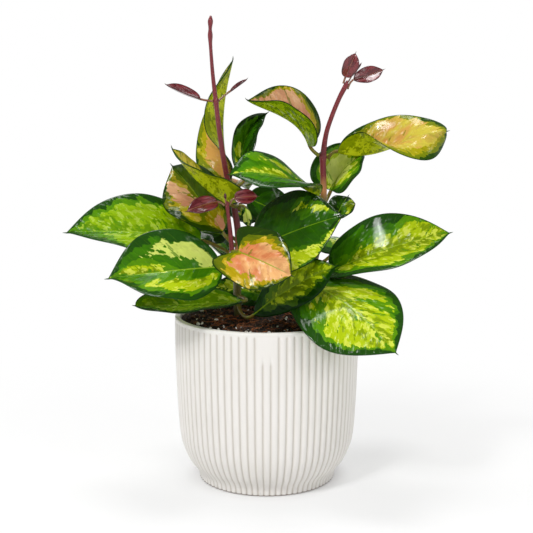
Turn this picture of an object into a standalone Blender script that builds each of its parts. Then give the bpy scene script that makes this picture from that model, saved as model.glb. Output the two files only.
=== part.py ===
"""Potted wax plant: a ribbed pot, its soil, three stems and their waxy leaves.

World units are metres, +Z is up, and the origin is the centre of the pot's underside. The sizes
below are in millimetres and are scaled once, when a mesh is made.
"""

import math
from dataclasses import dataclass

import bmesh
import bpy
import numpy as np
from mathutils import noise, Vector

MM = 0.001

# Pot
POT_HEIGHT = 117.5
RIM_RADIUS = 65.0
FOOT_RADIUS = 46.6
FLOOR = 5.0
RIBS = 76
RIB_DEPTH = 1.0
PLAIN_RIM = 1.6          # height of the unribbed band under the rim
PATCH_WIDTH = 13.0       # the smooth place at the front of the rim
PATCH_HEIGHT = 19.0

# Soil
SOIL_TOP = 114.3
SOIL_LUMP = 1.3
SOIL_STEPS = 32

# Fits
GAP = 0.3                # between two pieces that touch
PETIOLE_GAP = 0.4        # between a petiole's end and its stem

# Stems
SOCKET_DEPTH = 8.0       # how deep a stem stands in the soil
STEM_SIDES = 8

# Leaves
BLADE_STATIONS = 10      # ring sections along a blade
PETIOLE_STATIONS = 4
BLADE_ACROSS = (-1.0, -0.55, 0.0, 0.55, 1.0)
BLADE_THICKNESS = 1.5


# ---------------------------------------------------------------- scene and materials

def clear_scene():
    for item in list(bpy.data.objects):
        bpy.data.objects.remove(item, do_unlink=True)


def new_collection(name):
    collection = bpy.data.collections.new(name)
    bpy.context.scene.collection.children.link(collection)
    return collection


def material(name, colour, roughness):
    made = bpy.data.materials.new(name)
    made.use_nodes = True
    shader = made.node_tree.nodes["Principled BSDF"]
    shader.inputs["Base Color"].default_value = (*colour, 1.0)
    shader.inputs["Roughness"].default_value = roughness
    shader.inputs["Metallic"].default_value = 0.0
    return made


def add_object(name, mesh, collection, finish):
    made = bpy.data.objects.new(name, mesh)
    mesh.materials.clear()
    mesh.materials.append(finish)
    mesh.shade_smooth()
    mesh.set_sharp_from_angle(angle=math.radians(40))
    collection.objects.link(made)
    return made


# ---------------------------------------------------------------- vectors and paths

def unit(vector):
    return vector / np.linalg.norm(vector)


def smooth_path(points, steps):
    """Catmull-Rom curve through the points, with `steps` pieces between two neighbours."""
    points = np.array(points, float)
    first = 2 * points[0] - points[1]
    last = 2 * points[-1] - points[-2]
    chain = np.vstack([first, points, last])
    path = []
    for i in range(1, len(chain) - 2):
        before, start, end, after = chain[i - 1:i + 3]
        for step in range(steps):
            t = step / steps
            path.append(0.5 * (2 * start + (end - before) * t
                               + (2 * before - 5 * start + 4 * end - after) * t ** 2
                               + (3 * start - before - 3 * end + after) * t ** 3))
    path.append(points[-1])
    return np.array(path)


# ---------------------------------------------------------------- pot and soil

# Outer wall from the rim down: (height, radius)
OUTER = [(POT_HEIGHT - PLAIN_RIM, 65.0), (POT_HEIGHT - PATCH_HEIGHT + 1.0, 65.0),
         (POT_HEIGHT - PATCH_HEIGHT, 65.0), (80.0, 64.5), (60.0, 63.7), (38.0, 62.2), (28.0, 60.7),
         (20.0, 57.7), (13.0, 54.1), (8.5, 50.8), (5.0, 48.3), (0.0, FOOT_RADIUS)]

# Inner wall from the floor up: (height, radius)
INNER = [(FLOOR, 41.0), (30.0, 55.0), (60.0, 59.2), (POT_HEIGHT - 0.8, 61.2)]


def turned(name, profile, steps):
    """Solid of revolution of a (height, radius) profile that runs down its outer side."""
    mesh = bpy.data.meshes.new(name)
    points = [(radius * MM, 0, height * MM) for height, radius in profile]
    edges = [(i, i + 1) for i in range(len(points) - 1)]
    mesh.from_pydata(points, edges, [])
    rough = bpy.data.objects.new(name, mesh)
    bpy.context.scene.collection.objects.link(rough)
    screw = rough.modifiers.new("turn", "SCREW")
    screw.steps = steps
    screw.render_steps = steps
    screw.use_merge_vertices = True
    screw.merge_threshold = 0.00001
    screw.use_normal_calculate = True
    bpy.context.view_layer.update()
    evaluated = rough.evaluated_get(bpy.context.evaluated_depsgraph_get())
    turned_mesh = bpy.data.meshes.new_from_object(evaluated)
    bpy.data.objects.remove(rough, do_unlink=True)
    turned_mesh.name = name
    return turned_mesh


def build_pot(collection):
    """Turned pot whose every other column of outer vertices is pressed in, which leaves the ribs."""
    rim = [(POT_HEIGHT, 61.9), (POT_HEIGHT, 64.4)]
    profile = [(POT_HEIGHT - 0.6, 65.0)] + OUTER
    profile = rim + profile + [(0.0, 0.0)]
    inside = [(FLOOR, 0.0)] + INNER
    profile = inside + profile
    mesh = turned("pot", profile, 2 * RIBS)
    half_pitch = math.pi / RIBS
    patch_angle = 0.5 * PATCH_WIDTH / RIM_RADIUS
    for vertex in mesh.vertices:
        height = vertex.co.z / MM
        radius = math.hypot(vertex.co.x, vertex.co.y) / MM
        column = round(math.atan2(vertex.co.y, vertex.co.x) / half_pitch)
        from_front = abs(column * half_pitch + math.pi / 2)
        wall = np.interp(height, [row[0] for row in OUTER[::-1]], [row[1] for row in OUTER[::-1]])
        on_wall = height < POT_HEIGHT - PLAIN_RIM - 0.1 and radius > wall - 0.5
        in_patch = from_front < patch_angle and height > POT_HEIGHT - PATCH_HEIGHT + 0.5
        if on_wall and column % 2 and not in_patch:
            shrink = 1 - RIB_DEPTH / radius
            vertex.co.x *= shrink
            vertex.co.y *= shrink
    return add_object("pot", mesh, collection, material("pot_off_white", (0.80, 0.79, 0.76), 0.45))


def build_soil(collection, cutters):
    """Soil that fills the pot, with a lumpy top and a socket for each stem that stands in it."""
    top = [(SOIL_TOP, 0.0)]
    top += [(SOIL_TOP, radius) for radius in (10.0, 20.0, 30.0, 40.0, 50.0, 57.0)]
    side = [(SOIL_TOP - 1.0, 61.0 - GAP)]
    side += [(height, radius - 2 * GAP) for height, radius in INNER[-2::-1]]
    side[-1] = (FLOOR + GAP, INNER[0][1] - 2 * GAP)
    mesh = turned("soil", top + side + [(FLOOR + GAP, 0.0)], SOIL_STEPS)
    for vertex in mesh.vertices:
        if vertex.co.z > (SOIL_TOP - 0.5) * MM:
            place = Vector((vertex.co.x, vertex.co.y, 0)) / (14 * MM)
            vertex.co.z += noise.noise(place) * SOIL_LUMP * MM
    soil = add_object("soil", mesh, collection, material("potting_mix", (0.035, 0.02, 0.012), 0.95))
    for stem in STEMS:
        if stem.parent:
            continue
        foot = stem.points[0]
        bpy.ops.mesh.primitive_cylinder_add(
            vertices=16, radius=(stem.radii[0] + 2 * GAP) * MM, depth=2 * SOCKET_DEPTH * MM,
            location=(foot[0] * MM, foot[1] * MM, (foot[2] - GAP + SOCKET_DEPTH) * MM))
        cutter = bpy.context.object
        cutter.name = f"socket_{stem.name}"
        cutter.hide_render = True
        cutter.display_type = "WIRE"
        for owner in list(cutter.users_collection):
            owner.objects.unlink(cutter)
        cutters.objects.link(cutter)
        cut = soil.modifiers.new(cutter.name, "BOOLEAN")
        cut.operation = "DIFFERENCE"
        cut.object = cutter
    return soil


# ---------------------------------------------------------------- stems

@dataclass
class Stem:
    """A shoot: the points of its centre line, its radius at each, and its swollen joints."""
    name: str
    points: list
    radii: list
    nodes: tuple = ()
    parent: str = ""
    colour: tuple = (0.16, 0.02, 0.03)

    def path(self):
        return smooth_path([(*p, r) for p, r in zip(self.points, self.radii)], 2)

    def at(self, height):
        """Centre and radius of the stem at a height."""
        path = self.path()
        x, y, radius = (np.interp(height, path[:, 2], path[:, column]) for column in (0, 1, 3))
        return np.array([x, y, height]), self.swell(height, radius)

    def swell(self, height, radius):
        """A stem is thicker where a pair of leaves joins it."""
        for node in self.nodes:
            radius += 0.22 * radius * math.exp(-((height - node) / 2.2) ** 2)
        return radius


STEMS = [
    Stem("stem_tall",
         points=[(-20.5, 7, SOIL_TOP - SOCKET_DEPTH), (-20.6, 6.9, 116), (-21, 6, 127),
                 (-21, 3, 150), (-20, 0, 174), (-24, 0, 199), (-28, 0, 216), (-32, 0, 240),
                 (-35, 0, 266), (-37, 0, 284), (-38.4, 0, 303.5), (-38.6, 0, 311),
                 (-38.6, 0, 315.5), (-38.4, 0, 320.5), (-38.2, 0, 323.5)],
         radii=[2.8, 2.8, 2.8, 2.6, 2.4, 2.1, 1.9, 1.7, 1.6, 1.35, 1.2, 1.7, 1.2, 1.8, 0.9],
         nodes=(160, 199, 266)),
    Stem("stem_right",
         points=[(24, 9, SOIL_TOP - SOCKET_DEPTH), (24.2, 9, 116), (26.5, 9, 127), (33, 9, 150),
                 (38, 8, 175), (40, 7, 193), (39.7, 5, 212), (39.3, 4, 228), (41.2, 3, 244),
                 (45.2, 2, 257), (50, 0.5, 269), (54, -1, 277), (55, -1.5, 280)],
         radii=[2.7, 2.7, 2.7, 2.6, 2.5, 2.4, 2.2, 2.1, 1.7, 1.6, 1.6, 1.7, 0.9],
         nodes=(193, 228)),
    Stem("stem_front",
         points=[(-21, -1, 142), (-21.5, -10, 147), (-22, -20, 152), (-23, -31, 159),
                 (-23.5, -35, 169), (-24.5, -38.5, 183), (-26, -41, 197), (-26.2, -41.4, 200.5)],
         radii=[1.9, 1.9, 1.8, 1.8, 1.7, 1.4, 1.2, 1.2],
         nodes=(198,), parent="stem_tall"),
]


def build_stem(stem, collection):
    """A tube on a poly spline, thicker at its joints, with filled ends."""
    path = stem.path()
    curve = bpy.data.curves.new(stem.name, "CURVE")
    curve.dimensions = "3D"
    curve.bevel_depth = MM
    curve.bevel_resolution = (STEM_SIDES - 4) // 2
    curve.use_fill_caps = True
    spline = curve.splines.new("POLY")
    spline.points.add(len(path) - 1)
    for point, (x, y, z, radius) in zip(spline.points, path):
        point.co = (x * MM, y * MM, z * MM, 1)
        point.radius = stem.swell(z, radius)
    curve.materials.append(material(f"{stem.name}_skin", stem.colour, 0.4))
    made = bpy.data.objects.new(stem.name, curve)
    collection.objects.link(made)
    return made


# ---------------------------------------------------------------- leaves

@dataclass
class Leaf:
    """A waxy leaf: one body of a round petiole and a blade that folds along its midrib.

    base and tip are the ends of the midrib and face is where the upper side looks. left and right
    are the angles by which the two halves rise from flat, as seen from the petiole with the upper
    side up. An angle is one number, or three for the base, the middle and the tip. arch bows the
    midrib towards face, ess bends it the other way beyond the middle, and sway bows it to the right.
    """
    name: str
    stem: str
    joint: float
    base: tuple
    tip: tuple
    face: tuple
    width: float
    widest: float = 0.45
    blunt: float = 0.52
    point: float = 0.95
    left: object = 10
    right: object = 10
    cup: float = 0
    twist: object = 0
    arch: float = 0
    ess: float = 0
    sway: float = 0
    lobe: float = 0.12
    petiole: float = 1.25
    thickness: float = BLADE_THICKNESS
    colour: tuple = (0.10, 0.30, 0.05)

    def frame(self):
        """Unit vectors along the leaf, out of its upper side and to its right."""
        ahead = unit(np.subtract(self.tip, self.base).astype(float))
        face = np.array(self.face, float)
        up = unit(face - ahead * (face @ ahead))
        return ahead, up, np.cross(ahead, up)

    def midrib(self, u):
        ahead, up, right = self.frame()
        bow = 4 * u * (1 - u)
        bend = 10.4 * u * (1 - u) * (1 - 2 * u)
        straight = np.array(self.base) + np.subtract(self.tip, self.base) * u
        return straight + up * (self.arch * bow + self.ess * bend) + right * self.sway * bow

    def half_width(self, u):
        """A sine arch that peaks at `widest`, blunt at the base and pointed at the tip."""
        skew = math.log(0.5) / math.log(self.widest)
        power = self.blunt + (self.point - self.blunt) * max((u - 0.35) / 0.65, 0) ** 2
        return 0.5 * self.width * max(math.sin(math.pi * u ** skew), 0) ** power

    def blade_frame(self, u):
        step = 0.001
        ahead = unit(self.midrib(u + step) - self.midrib(u - step))
        up = self.frame()[1]
        up = unit(up - ahead * (up @ ahead))
        right = np.cross(ahead, up)
        turn = math.radians(blend(self.twist, u))
        up = up * math.cos(turn) + right * math.sin(turn)
        return ahead, up, np.cross(ahead, up)

    def across(self, u, v):
        """Point of the blade's middle surface at v from -1 (left edge) to 1, and its normal there."""
        ahead, up, right = self.blade_frame(u)
        side = 1 if v >= 0 else -1
        fold = math.radians(blend(self.right if side > 0 else self.left, u))
        half = self.half_width(u)
        cup = math.radians(self.cup)
        angles = fold + cup * abs(v) * (np.arange(8) + 0.5) / 8
        out = abs(v) * np.cos(angles).mean()
        rise = abs(v) * np.sin(angles).mean()
        swept = self.lobe * 2 * half * abs(v) ** 1.5 * math.exp(-(u / 0.25) ** 2)
        place = self.midrib(u) + side * right * half * out + up * half * rise - ahead * swept
        edge = fold + cup * abs(v)
        normal = up * math.cos(edge) - (side * right * math.sin(edge) if v else 0)
        return place, normal

    def blade_ring(self, u):
        """Lens-shaped section: over the upper side from left to right, then back underneath."""
        upper, lower = [], []
        for v in BLADE_ACROSS:
            place, normal = self.across(u, v)
            half_thick = 0.5 * self.thickness * (1 - v * v) * min(1, 0.25 + 3 * (1 - u))
            upper.append(place + normal * half_thick)
            if abs(v) < 1:
                lower.append(place - normal * half_thick * (1.5 if v == 0 else 1))
        return upper + lower[::-1]

    def petiole_rings(self):
        """Round sections from the stem to the blade, along a curve that ends along the midrib."""
        ahead, up, right = self.blade_frame(0)
        base = self.midrib(0)
        foot, _ = STEM_BY_NAME[self.stem].at(self.joint)
        reach = 0.35 * np.linalg.norm(base - foot)
        control = base - ahead * reach
        foot = seat_on_stem(STEM_BY_NAME[self.stem], self.joint, control, self.petiole)
        rings = []
        count = 2 * (len(BLADE_ACROSS) - 1)
        for t in np.linspace(1, 0, PETIOLE_STATIONS):
            centre = foot * (1 - t) ** 2 + control * 2 * t * (1 - t) + base * t ** 2
            along = unit((control - foot) * (1 - t) + (base - control) * t)
            up = unit(up - along * (up @ along))
            right = np.cross(along, up)
            turns = [math.pi - 2 * math.pi * k / count for k in range(count)]
            spokes = [right * math.cos(turn) + up * math.sin(turn) for turn in turns]
            rings.append([centre + self.petiole * spoke for spoke in spokes])
        return rings[::-1]

    def rings(self):
        stations = [0.045, 0.11] + list(np.linspace(0.2, 0.93, BLADE_STATIONS - 3)) + [0.985]
        return self.petiole_rings() + [self.blade_ring(u) for u in stations]


def blend(values, u):
    """A number, or the parabola through three numbers at 0, 0.5 and 1."""
    if not isinstance(values, tuple):
        return values
    base, middle, tip = values
    return base * (1 - u) * (1 - 2 * u) + 4 * middle * u * (1 - u) + tip * u * (2 * u - 1)


def seat_on_stem(stem, height, towards, petiole):
    """Where a petiole's end lies just clear of the stem's skin, on the side that faces `towards`."""
    centre, radius = stem.at(height)
    above, _ = stem.at(height + 1)
    below, _ = stem.at(height - 1)
    grain = unit(above - below)
    offset = towards - centre
    outward = unit(offset - grain * (offset @ grain))
    lean = abs(unit(offset) @ grain)
    return centre + outward * (radius + PETIOLE_GAP + petiole * lean)


def loft(name, rings):
    """Closed mesh through ring sections of equal count, wound clockwise as seen from the first."""
    shape = bmesh.new()
    rows = [[shape.verts.new(Vector(point) * MM) for point in ring] for ring in rings]
    count = len(rows[0])
    for near, far in zip(rows, rows[1:]):
        for k in range(count):
            n = (k + 1) % count
            shape.faces.new((near[k], near[n], far[n], far[k]))
    shape.faces.new(rows[0][::-1])
    shape.faces.new(rows[-1])
    bmesh.ops.triangulate(shape, faces=shape.faces[:])
    mesh = bpy.data.meshes.new(name)
    shape.to_mesh(mesh)
    shape.free()
    return mesh


GREEN = (0.07, 0.24, 0.04)
LIME = (0.35, 0.50, 0.06)
PINK = (0.70, 0.35, 0.22)
GOLD = (0.60, 0.48, 0.10)
CRIMSON = (0.17, 0.015, 0.03)

LEAVES = [
    # Large leaves that face the front, from the left round to the right
    Leaf("leaf_far_left", "stem_tall", 159, base=(-47, 2, 170), tip=(-137, -20, 178),
         face=(0, -0.8, 0.6), width=60, widest=0.46, left=(15, 34, 52), right=5, arch=6,
         colour=LIME),
    Leaf("leaf_front_left", "stem_front", 153, base=(-31, -37, 157), tip=(-104, -55, 152),
         face=(0.05, -0.93, 0.35), width=58, widest=0.5, left=(25, 38, 70), right=0, arch=4,
         lobe=0.05, colour=LIME),
    Leaf("leaf_pink_fold", "stem_tall", 167, base=(-31, -7, 177), tip=(-66, 4, 222),
         face=(0.1, -0.95, 0.25), width=45, widest=0.55, left=(50, 22, -12), right=(36, 48, 58),
         arch=1, sway=1, colour=PINK),
    Leaf("leaf_yellow_curl", "stem_tall", 198, base=(-25.5, -28.5, 198.8),
         tip=(-61.7, -43.5, 236.3), face=(0.35, -0.1, 0.9), width=36, widest=0.42,
         left=(80, 36, -10), right=(12, 16, 35), arch=-3, lobe=0.5, blunt=0.33, colour=GOLD),
    Leaf("leaf_centre_glossy", "stem_right", 192, base=(35.5, -6.5, 202), tip=(-24.5, -38, 219),
         face=(0, -0.6, 0.8), width=46, widest=0.58, left=(95, 30, 18), right=(0, 8, 20), arch=8,
         ess=-1, cup=-15, colour=GREEN),
    Leaf("leaf_tall_cream", "stem_tall", 202, base=(-26, 10, 212), tip=(-24, 24, 296),
         face=(-1, 0.05, 0), width=43, widest=0.33, left=(75, 55, 35), right=(24, 36, 35),
         twist=(40, 0, 0), arch=8, sway=-16, point=1.1, colour=GOLD),
    Leaf("leaf_dark_upright", "stem_tall", 207, base=(-16, 16.5, 214.5), tip=(0, 38, 258),
         face=(0, -0.95, 0.3), width=24, widest=0.5, left=(35, 48, 65), right=(38, 45, 45), arch=2,
         sway=-8, colour=GREEN),
    Leaf("leaf_arch_pink", "stem_right", 229, base=(29.5, 2, 237), tip=(-13, -12, 267.5),
         face=(0.53, -0.4, 0.75), width=43, left=(35, 50, 50), right=(38, 50, 48), arch=5, ess=1.5,
         sway=2, colour=PINK),
    Leaf("leaf_yellow_right", "stem_right", 227, base=(50, 5, 232), tip=(120, -25, 247),
         face=(0, -0.5, 0.87), width=46, widest=0.5, blunt=0.45, point=0.34, left=(66, 38, -15),
         right=(88, 44, -120), arch=-4, ess=-3, colour=GOLD),
    Leaf("leaf_behind_stem", "stem_right", 195, base=(46, 18, 204), tip=(70.5, 30, 229),
         face=(0, -0.95, 0.3), width=44, widest=0.38, left=(-10, 28, 55), right=(60, 60, 72),
         arch=2, sway=-3, colour=LIME),
    Leaf("leaf_small_curled", "stem_right", 183, base=(50, 20, 184), tip=(59, 32, 198),
         face=(0, -0.6, 0.8), width=20, widest=0.5, arch=2, colour=GREEN),
    Leaf("leaf_dark_centre", "stem_tall", 161, base=(-8, -16, 166), tip=(50, -45, 192.5),
         face=(-0.1, -0.85, 0.5), width=60, left=0, right=8, arch=4, colour=GREEN),
    Leaf("leaf_pink_front", "stem_front", 163, base=(-11, -66, 167), tip=(15, -90, 160),
         face=(-0.62, -0.53, 0.57), width=43, widest=0.38, left=(0, 6, 10), right=(34, 6, 8),
         arch=3, lobe=0.85, blunt=0.22, point=0.8, colour=PINK),
    Leaf("leaf_low_left", "stem_tall", 130, base=(-26, -18, 130), tip=(-88, -42, 131.5),
         face=(0, -0.5, 0.86), width=34, widest=0.55, blunt=0.45, point=0.5, left=(32, 24, 20),
         right=10, arch=-1, colour=LIME),
    Leaf("leaf_low_centre", "stem_tall", 123, base=(-8, -28, 123), tip=(43, -55, 163),
         face=(0.1, -0.9, 0.5), width=30, widest=0.57, left=5, right=5, arch=3, sway=-2,
         colour=GREEN),
    Leaf("leaf_lower_right", "stem_right", 130, base=(25, -20, 144.5), tip=(81.5, -87, 110),
         face=(0.25, -0.75, 0.6), width=69, widest=0.52, left=-4, right=(-9, -14, -32), arch=8,
         colour=LIME),
    Leaf("leaf_right", "stem_right", 142, base=(45, -12, 150), tip=(124, -25, 178.5),
         face=(0, -0.85, 0.5), width=52, left=0, right=(60, 40, 35), arch=8, colour=LIME),
    Leaf("leaf_shade", "stem_tall", 190, base=(-13, 8, 199), tip=(18, 14, 184),
         face=(0.2, -0.85, 0.5), width=32, widest=0.5, colour=GREEN),
    Leaf("leaf_low_behind", "stem_tall", 168, base=(-28, 12, 172), tip=(-56, 18, 176),
         face=(0, -0.8, 0.6), width=24, widest=0.5, colour=GREEN),
    Leaf("leaf_pale_hanging", "stem_tall", 194, base=(-15, -1, 193), tip=(-12.5, -4, 180),
         face=(0, -0.95, -0.1), width=8, widest=0.5, petiole=0.8, thickness=1.0, colour=LIME),
    # Leaves on the far side
    Leaf("leaf_back_left", "stem_tall", 150, base=(-32, 26, 156), tip=(-82, 64, 166),
         face=(-0.1, 0.35, 0.9), width=46, left=15, right=15, arch=6, colour=LIME),
    Leaf("leaf_back_middle", "stem_tall", 172, base=(-12, 24, 180), tip=(-2, 88, 176),
         face=(0, 0.4, 0.9), width=44, left=12, right=12, arch=9, colour=GREEN),
    Leaf("leaf_back_right", "stem_right", 150, base=(48, 26, 157), tip=(84, 74, 150),
         face=(0.1, 0.4, 0.9), width=48, left=15, right=12, arch=9, colour=LIME),
    Leaf("leaf_back_low", "stem_right", 133, base=(24, 28, 136), tip=(14, 86, 118),
         face=(0, 0.5, 0.85), width=46, left=8, right=8, arch=9, colour=GREEN),
    Leaf("leaf_back_shade", "stem_right", 121, base=(6, 22, 125), tip=(-42, 36, 131),
         face=(0, -0.85, 0.5), width=24, widest=0.5, left=5, right=5, arch=3, colour=GREEN),
    Leaf("leaf_back_upper", "stem_tall", 200, base=(-25, 18, 203), tip=(-14, 68, 200),
         face=(0, 0.45, 0.9), width=34, left=22, right=22, arch=7, colour=PINK),
    # Young crimson leaves
    Leaf("young_leaf_tall_left", "stem_tall", 267, base=(-46, -3, 268.3), tip=(-68, -14, 278),
         face=(0, -0.6, 0.8), width=12, left=35, right=30, arch=-1, petiole=0.75, thickness=1.0,
         colour=CRIMSON),
    Leaf("young_leaf_tall_right", "stem_tall", 267, base=(-25, 7, 274), tip=(-14, 11, 282),
         face=(0, -0.6, 0.8), width=3.6, left=40, right=40, petiole=0.75, thickness=1.4,
         colour=CRIMSON),
    Leaf("young_leaf_front_left", "stem_front", 199, base=(-33, -44.5, 201.5), tip=(-52, -52, 196),
         face=(0, -0.85, 0.5), width=12.5, left=15, right=10, arch=1.5, petiole=0.7, thickness=1.0,
         colour=CRIMSON),
    Leaf("young_leaf_front_right", "stem_front", 199, base=(-21, -40, 203.5), tip=(-6, -38, 204.5),
         face=(0, -0.9, 0.4), width=11, left=8, right=12, arch=1, petiole=0.7, thickness=1.0,
         colour=CRIMSON),
    Leaf("young_leaf_right_upright", "stem_right", 278, base=(54, -1.6, 283.5), tip=(60.3, -5, 299),
         face=(0.1, -0.95, 0.3), width=12, widest=0.5, left=30, right=20, arch=1.5, petiole=0.7,
         thickness=1.0, colour=CRIMSON),
    Leaf("young_leaf_right_side", "stem_right", 276, base=(60, 0, 281.5), tip=(80.5, 5, 288.3),
         face=(0, -0.9, 0.45), width=13, widest=0.5, left=25, right=20, arch=-1.5, petiole=0.7,
         thickness=1.0, colour=CRIMSON),
    Leaf("bud_front", "stem_front", 200, base=(-27.2, -43, 203.6), tip=(-27.5, -43.5, 207),
         face=(0, -1, 0), width=2.2, left=50, right=50, petiole=0.5, thickness=1.1, colour=CRIMSON),
    Leaf("bud_right", "stem_right", 278.5, base=(61, 3, 287.5), tip=(65, 4, 292.5),
         face=(0, -1, 0.2), width=2.4, left=50, right=50, petiole=0.5, thickness=1.1,
         colour=CRIMSON),
]

STEM_BY_NAME = {stem.name: stem for stem in STEMS}


def build_leaf(leaf, collection):
    finish = material(f"{leaf.name}_skin", leaf.colour, 0.35)
    return add_object(leaf.name, loft(leaf.name, leaf.rings()), collection, finish)


def main():
    clear_scene()
    plant = new_collection("potted_wax_plant")
    cutters = new_collection("cutters")
    build_pot(plant)
    build_soil(plant, cutters)
    for stem in STEMS:
        build_stem(stem, plant)
    for leaf in LEAVES:
        build_leaf(leaf, plant)


main()
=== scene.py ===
import math
from dataclasses import dataclass

import bmesh
import bpy
import numpy as np
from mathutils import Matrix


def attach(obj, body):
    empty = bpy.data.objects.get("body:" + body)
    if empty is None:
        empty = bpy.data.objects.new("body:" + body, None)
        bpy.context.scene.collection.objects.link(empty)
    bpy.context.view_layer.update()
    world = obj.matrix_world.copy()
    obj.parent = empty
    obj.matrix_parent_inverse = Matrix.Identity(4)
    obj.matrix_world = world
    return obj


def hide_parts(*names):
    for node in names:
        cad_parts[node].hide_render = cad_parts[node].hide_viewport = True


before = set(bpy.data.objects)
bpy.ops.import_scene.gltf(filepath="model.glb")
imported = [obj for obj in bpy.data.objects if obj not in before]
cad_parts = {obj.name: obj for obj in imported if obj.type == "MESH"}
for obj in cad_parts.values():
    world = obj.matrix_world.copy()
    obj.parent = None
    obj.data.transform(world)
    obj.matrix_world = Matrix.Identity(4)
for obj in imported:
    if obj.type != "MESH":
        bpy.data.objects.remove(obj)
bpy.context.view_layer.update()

# ------------------------------------------------------------------------------------- pot
# One moulded pot of matt off-white plastic: a smooth lip, fine rounded ribs from under the lip
# down to the narrower foot, a bare place in the ribs at the front, and a plain inside. Its sizes
# are in millimetres, as are those of the other pieces. A line holds a section's heights and radii.

MM = 0.001
POT_HEIGHT = 117.5
LIP_OUTSIDE = 65.0
LIP_INSIDE = 61.3
LIP_ROUND = 0.8
RIB_COUNT = 76
RIB_DEPTH = 1.0
RIB_ROUNDNESS = 0.85
RIB_START = 2.2          # height over which the ribs rise out of the plain lip
RIB_END = 0.8            # height over which they sink into the foot's edge
SAMPLES_PER_RIB = 14
PLAIN_LIP = 1.6
BARE_WIDTH = 13.0
BARE_HEIGHT = 19.0
FLOOR = 5.0
POLE = 4.0               # radius of the last ring round the axis
INSIDE_LINE = [(FLOOR, 41.0), (30.0, 55.0), (60.0, 59.2), (POT_HEIGHT - 2.0, LIP_INSIDE)]
BELOW_LIP = (115.9, 65.0), (112.5, 64.98)
WALL_LINE = [(112.0, 64.97), (98.5, 65.0), (80.0, 64.6), (60.0, 63.9), (38.0, 62.6), (28.0, 61.2),
             (20.0, 58.5), (13.0, 54.9), (8.5, 51.4), (5.0, 49.4), (2.0, 48.8), (0.5, 48.5)]
UNDERSIDE = [(0.0, 47.2), (0.0, 30.0), (0.0, POLE)]


def smooth_path(points, steps):
    """Catmull-Rom curve: the cubic through each pair of points that takes its slopes from their
    neighbours, sampled `steps` times between two points, for rows of any number of columns."""
    points = np.asarray(points, float)
    ends = 2 * points[0] - points[1], 2 * points[-1] - points[-2]
    chain = np.vstack([ends[0], points, ends[1]])
    before, start, end, after = (chain[i:len(chain) - 3 + i, None] for i in range(4))
    t = (np.arange(steps) / steps)[None, :, None]
    path = 0.5 * (2 * start + (end - before) * t
                  + (2 * before - 5 * start + 4 * end - after) * t ** 2
                  + (3 * start - before - 3 * end + after) * t ** 3)
    return np.vstack([path.reshape(-1, points.shape[1]), points[-1]])


def smoothstep(low, high, value):
    """0 below low, 1 above high, and a cubic S between them."""
    t = np.clip((value - low) / (high - low), 0, 1)
    return t * t * (3 - 2 * t)


def skin(name, rings, **attributes):
    """Closed surface through rings of points, an (n, m, 3) array in millimetres, with a pole at the
    middle of the first and of the last ring. An attribute is an (n, m) array of numbers."""
    n, m, _ = rings.shape
    points = np.vstack([rings.reshape(-1, 3), rings[0].mean(0), rings[-1].mean(0)]) * MM
    row, column = np.meshgrid(np.arange(n - 1), np.arange(m), indexing="ij")
    here, beside = row * m + column, row * m + (column + 1) % m
    quads = np.stack([here, beside, beside + m, here + m], -1).reshape(-1, 4)
    around = np.arange(m)
    following = (around + 1) % m
    first = np.stack([following, around, np.full(m, n * m)], -1)
    last = np.stack([(n - 1) * m + around, (n - 1) * m + following, np.full(m, n * m + 1)], -1)
    mesh = bpy.data.meshes.new(name)
    mesh.from_pydata(points.tolist(), [], quads.tolist() + first.tolist() + last.tolist())
    corners = points[np.vstack([quads[:, [0, 1, 2]], quads[:, [0, 2, 3]], first, last])]
    volume = np.einsum("ij,ij->", corners[:, 0], np.cross(corners[:, 1], corners[:, 2]))
    if volume < 0:
        mesh.flip_normals()
    for label, values in attributes.items():
        held = mesh.attributes.new(label, "FLOAT", "POINT")
        ends = [values[0].mean(), values[-1].mean()]
        held.data.foreach_set("value", np.append(values.ravel(), ends).astype(np.float32))
    return add_piece(name, mesh)


def add_piece(name, mesh):
    """Object for a mesh that already holds its place, shaded smooth."""
    mesh.shade_smooth()
    piece = bpy.data.objects.new(name, mesh)
    bpy.context.scene.collection.objects.link(piece)
    return piece


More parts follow.
